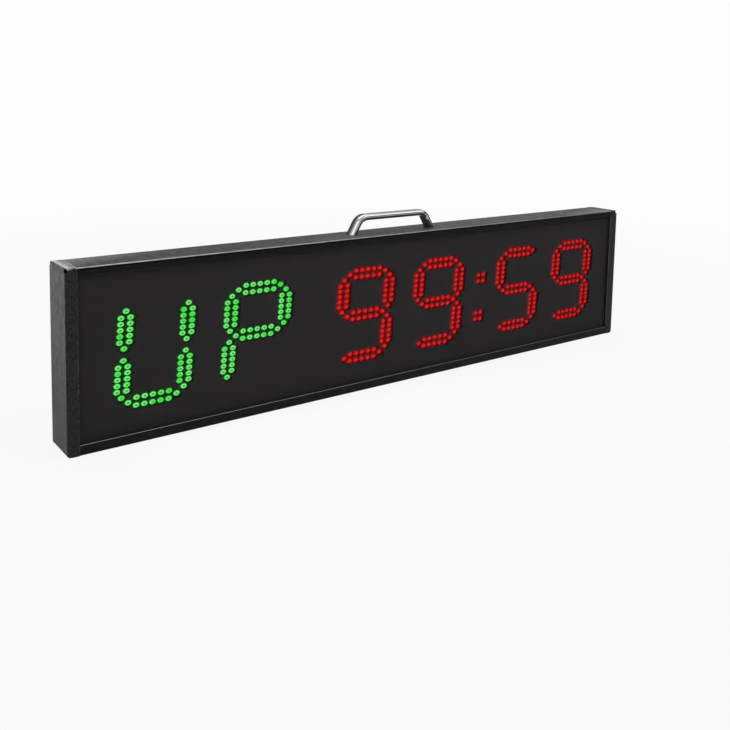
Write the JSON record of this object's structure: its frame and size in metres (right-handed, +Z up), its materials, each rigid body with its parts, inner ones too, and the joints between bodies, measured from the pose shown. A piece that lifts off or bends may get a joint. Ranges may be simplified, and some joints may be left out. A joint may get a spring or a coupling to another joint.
{
  "type": "gym clock",
  "caption": "Slim wall or table gym timer: lamp-dot digits behind a smoked front, sheet end caps, carry handle on top, rear hanger plates, power inlet and rocker switch.",
  "frame": {"origin": "on the surface the clock stands on, under the middle of the case", "axes": "+X along the case to the viewer's right, +Y from the display to the back, +Z up"},
  "size_m": [0.88, 0.05, 0.226],
  "materials": {
    "case_paint": "fine satin powder coat",
    "smoked_filter": "smoked acrylic, polished faces",
    "handle_metal": "polished",
    "dark_screws": "blackened",
    "zinc_plate": "zinc plated",
    "bright_steel": "plated",
    "green_lamps": "clear tinted lamp domes in a black holder",
    "red_lamps": "tinted lamp domes in a black holder",
    "board_mask": "black solder mask",
    "green_board": "green solder mask",
    "black_plastic": "moulded",
    "grey_ribbon": "satin insulation",
    "red_lead": "satin insulation",
    "black_lead": "satin insulation"
  },
  "bodies": {
    "case": {"bottom_rail": "case_paint", "top_rail": "case_paint", "end_cap_left": "case_paint", "end_cap_right": "case_paint", "end_cap_screw_1": "dark_screws", "end_cap_screw_2": "dark_screws", "end_cap_screw_3": "dark_screws", "end_cap_screw_4": "dark_screws", "front_filter": "smoked_filter", "rear_panel": "case_paint", "rear_panel_screw_1": "dark_screws", "rear_panel_screw_2": "dark_screws", "rear_panel_screw_3": "dark_screws", "rear_panel_screw_4": "dark_screws", "rear_panel_screw_5": "dark_screws", "rear_panel_screw_6": "dark_screws", "hanger_plate_left": "zinc_plate", "hanger_plate_right": "zinc_plate", "carry_handle": "handle_metal", "handle_screw_left": "dark_screws", "handle_screw_right": "dark_screws", "lamps_digit_1": "green_lamps", "lamps_digit_2": "green_lamps", "lamps_digit_3": "red_lamps", "lamps_digit_4": "red_lamps", "lamps_colon": "red_lamps", "lamps_digit_5": "red_lamps", "lamps_digit_6": "red_lamps", "lamp_board_left": "board_mask", "lamp_board_middle": "board_mask", "lamp_board_right": "board_mask", "driver_chip_left": "black_plastic", "driver_chip_middle": "black_plastic", "driver_chip_right": "black_plastic", "infrared_receiver": "black_plastic", "ribbon_cable_left": "grey_ribbon", "ribbon_cable_middle": "grey_ribbon", "ribbon_cable_control": "grey_ribbon", "controller_tray": "black_plastic", "controller_board": "green_board", "controller_screw_1": "dark_screws", "controller_screw_2": "dark_screws", "controller_chip": "black_plastic", "capacitor": "black_plastic", "crystal": "bright_steel", "coin_cell_holder": "black_plastic", "coin_cell": "bright_steel", "buzzer": "black_plastic", "power_jack": "black_plastic", "power_jack_pin": "bright_steel", "power_jack_nut": "bright_steel", "switch_housing": "black_plastic", "switch_terminal_supply": "bright_steel", "switch_terminal_output": "bright_steel", "power_lead_supply": "red_lead", "power_lead_switched": "red_lead", "power_lead_return": "black_lead"},
    "rocker": {"switch_rocker": "black_plastic"}
  },
  "joints": [
    {"name": "switch_rocker_pivot", "type": "hinge", "parent": "case", "child": "rocker", "pos_m": [0.352, 0.0202, 0.062], "axis": [1, 0, 0], "range_deg": [-22, 0]}
  ]
}
